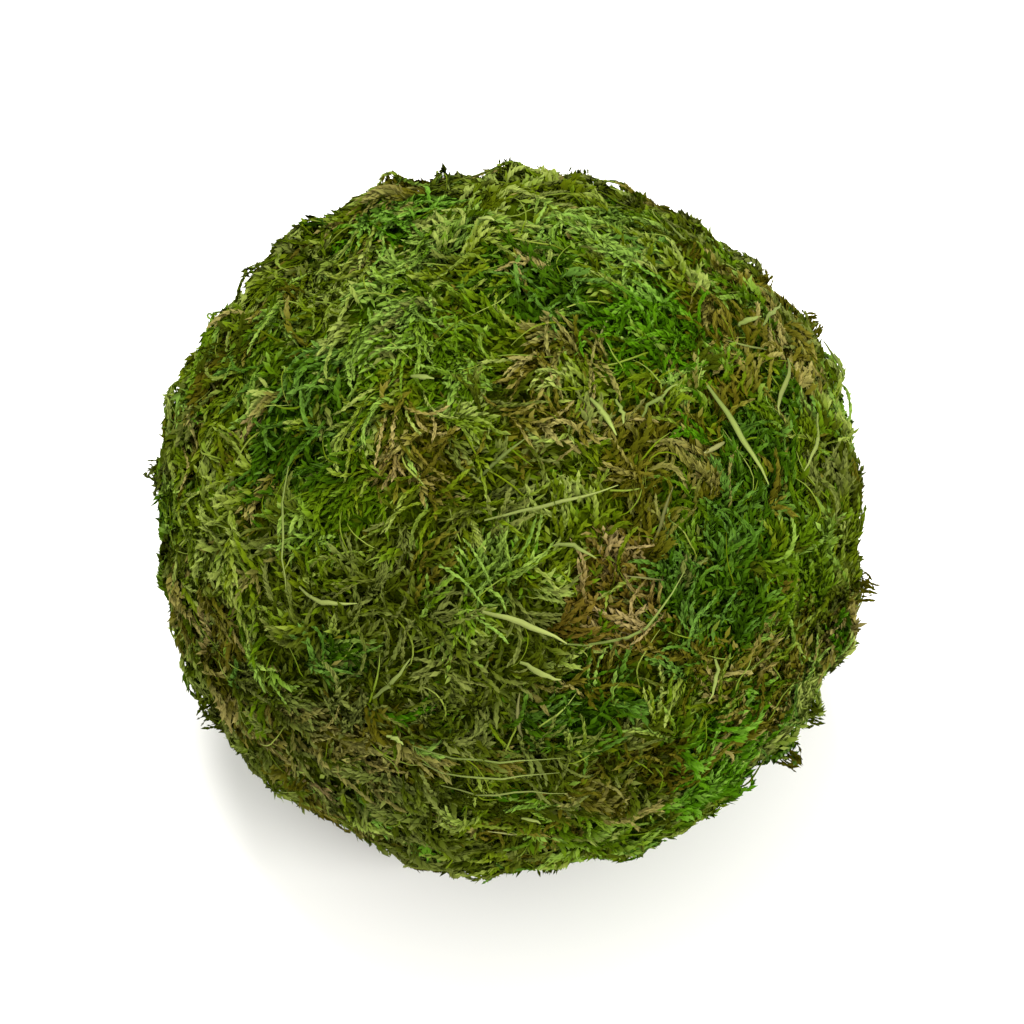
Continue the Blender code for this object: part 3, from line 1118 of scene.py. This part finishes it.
def scattered_leaves():
    """Loose leaves under the shoots, as the parts of one mesh for each tone."""
    count = LOOSE_LEAVES["count"]
    places = scattered(count, LEAF_SCATTER, rng)
    lock = nearest(places, lock_places)
    other = rng.permutation(count)
    keeps = rng.random(count) < LOOSE_TONE_SHARE
    tone = np.where(keeps, lock_tones[lock], lock_tones[lock][other])
    leaf = strewn(LOOSE_LEAVES, places, rng)
    tint = np.clip(rng.normal(*LOOSE_TINT, count), *SHOOT_TINTS)
    # Darker than the shoots above them, and darker still in hollows: painted shade
    shade = rng.normal(*LOOSE_SHADE, count) + lock_shades[lock] - HOLLOW_LEAF_PAINTED_SHADE * hollows(places)
    shade = np.clip(shade, *LOOSE_SHADES)
    parts = []
    for number in range(len(TONES)):
        mine = tone == number
        own_leaf = [values[mine] for values in leaf]
        shape = (SINGLE_WAIST, SINGLE_KEEL, SINGLE_HOOK)
        parts.append(keeled_leaves(*own_leaf, shape, tint[mine], shade[mine]))
    return parts


def make_shoots():
    """All shoots, branches, tufts and loose leaves, each piece holding those of one tone."""
    shoots = main_shoots()
    groups = (
        (shoots, {}),
        (branches_of(shoots), {}),
        (tuft_shoots(), {"spread": TUFT_ANGLE_SHARE * LEAF_ANGLE}),
        (plaits(), {"per_metre": PLAIT_LEAVES_PER_METRE, "spread": PLAIT_ANGLE, "narrow": PLAIT_SHARE}),
    )
    loose = scattered_leaves()
    for number, name in enumerate(TONES):
        parts = [loose[number]]
        for group, kind in groups:
            mine = group["tone"] == number
            points, length, tint, shade, size = (
                group[key][mine] for key in ("points", "length", "tint", "shade", "size")
            )
            parts.append(tubes(points, size * STEM_WIDTH, tint, shade - STEM_DARKER, sides=2))
            parts.append(leaves(points, length, tint, shade, size, **kind))
        piece(f"{name}_shoots", parts, shoot_material(f"{name} moss", TONES[name]))


# Bare strands and stalks


def make_strands():
    places = scattered(STRANDS, STRAND_SCATTER, rng)
    way = strayed(places, STRAND_STRAY, rng)
    length = rng.uniform(*STRAND_LENGTH, STRANDS)
    points, _, _ = lay(
        places,
        way,
        length,
        rng.uniform(*STRAND_DEPTH, STRANDS),
        rng.normal(0, STRAND_BEND * CURL, STRANDS),
        STRAND_STEPS,
        arch=rng.uniform(*STRAND_ARCH, STRANDS),
        root=np.full(STRANDS, STRAND_ROOT_DEPTH),
        tuck=rng.uniform(*STRAND_TUCK, STRANDS),
    )
    tint = rng.uniform(*STRAND_TINT, STRANDS)
    shade = np.clip(rng.normal(*STRAND_SHADE, STRANDS), *STRAND_SHADES)
    width = rng.uniform(*STRAND_WIDTH, STRANDS)
    material = shoot_material("strand moss", TONES["yellow_green"])
    piece("fine_strands", [tubes(points, width, tint, shade)], material)


def placed_stalks():
    """Paths of the stalks that the photograph shows."""
    share = np.linspace(0, 1, STALK_STEPS)
    paths = []
    for start, end, bow, _, _ in STALKS:
        start, end = np.array(start), np.array(end)
        along = (end - start) / np.linalg.norm(end - start)
        aside = np.array([-along[1], along[0]])
        # Four times t by 1 - t is one halfway, where the stalk bows by its full bow
        flat = [start + (end - start) * t + aside * bow * 4 * t * (1 - t) for t in share]
        paths.append([seen_at(*point) for point in flat])
    places = unit(np.array(paths) + rng.normal(0, STALK_WOBBLE, (len(paths), STALK_STEPS, 3)))
    height = reach(places)
    height = height.mean(1, keepdims=True) * STALK_LEVEL + height * (1 - STALK_LEVEL)
    return middle + places * (height + STALK_STAND)[..., None]


def make_stalks():
    placed = placed_stalks()
    count = LOOSE_STALKS
    places = unit(rng.normal(0, 1, (count, 3)))
    loose, _, _ = lay(
        places,
        along_surface(rng.normal(0, 1, (count, 3)), places),
        rng.uniform(*LOOSE_STALK_LENGTH, count),
        np.full(count, LOOSE_STALK_DEPTH),
        rng.normal(0, LOOSE_STALK_BEND * CURL, count),
        STALK_STEPS,
        root=np.full(count, LOOSE_STALK_ROOT_DEPTH),
        wobble=LOOSE_STALK_WOBBLE,
    )
    points = np.concatenate([placed, loose])
    width = np.append([stalk[3] * MM for stalk in STALKS], rng.uniform(*LOOSE_STALK_WIDTH, count))
    shade = np.append([stalk[4] for stalk in STALKS], rng.uniform(*LOOSE_STALK_SHADE, count))
    tint = rng.uniform(*LOOSE_STALK_TINT, len(points))
    tint[: len(STALKS)] *= STALK_TINT
    tube = tubes(points, width, tint, shade, sides=STALK_SIDES, taper=STALK_TAPER, flat=STALK_FLAT)
    piece("dry_stalks", [tube], shoot_material("straw", STRAW))


make_felt()
make_old_leaves()
make_shoots()
make_strands()
make_stalks()


# The floor, lights and camera


def make_floor():
    bpy.ops.mesh.primitive_plane_add(size=FLOOR_ACROSS)
    floor = bpy.context.object
    floor.name = "floor"
    material, _, _, shader = new_material("pale floor", FLOOR_SHINE)
    shader.inputs["Base Color"].default_value = FLOOR_COLOUR
    shader.inputs["Roughness"].default_value = FLOOR_ROUGHNESS
    shader.inputs["Emission Color"].default_value = WHITE
    shader.inputs["Emission Strength"].default_value = FLOOR_GLOW
    floor.data.materials.append(material)


def add_light(name, place, size, power):
    light = bpy.data.objects.new(name, bpy.data.lights.new(name, "AREA"))
    light.data.shape = "DISK"
    light.data.size = size
    light.data.energy = power
    light.location = place
    light.rotation_euler = (Vector(place) - Vector(middle)).to_track_quat("Z", "Y").to_euler()
    bpy.context.scene.collection.objects.link(light)


def make_light():
    world = bpy.data.worlds.new("studio")
    bpy.context.scene.world = world
    world.use_nodes = True
    world.node_tree.nodes["Background"].inputs["Color"].default_value = WHITE
    world.node_tree.nodes["Background"].inputs["Strength"].default_value = ROOM_LIGHT
    for light in LIGHTS:
        add_light(*light)


def make_camera():
    camera = bpy.data.objects.new("camera", bpy.data.cameras.new("camera"))
    camera.data.sensor_width = SENSOR
    camera.data.lens = SENSOR * CAMERA_DISTANCE / VIEW_WIDTH
    camera.location = Vector(middle + toward_camera * CAMERA_DISTANCE)
    camera.rotation_euler = Vector(toward_camera).to_track_quat("Z", "Y").to_euler()
    bpy.context.scene.collection.objects.link(camera)
    bpy.context.scene.camera = camera


make_floor()
make_light()
make_camera()
bpy.context.scene.view_settings.view_transform = "Standard"
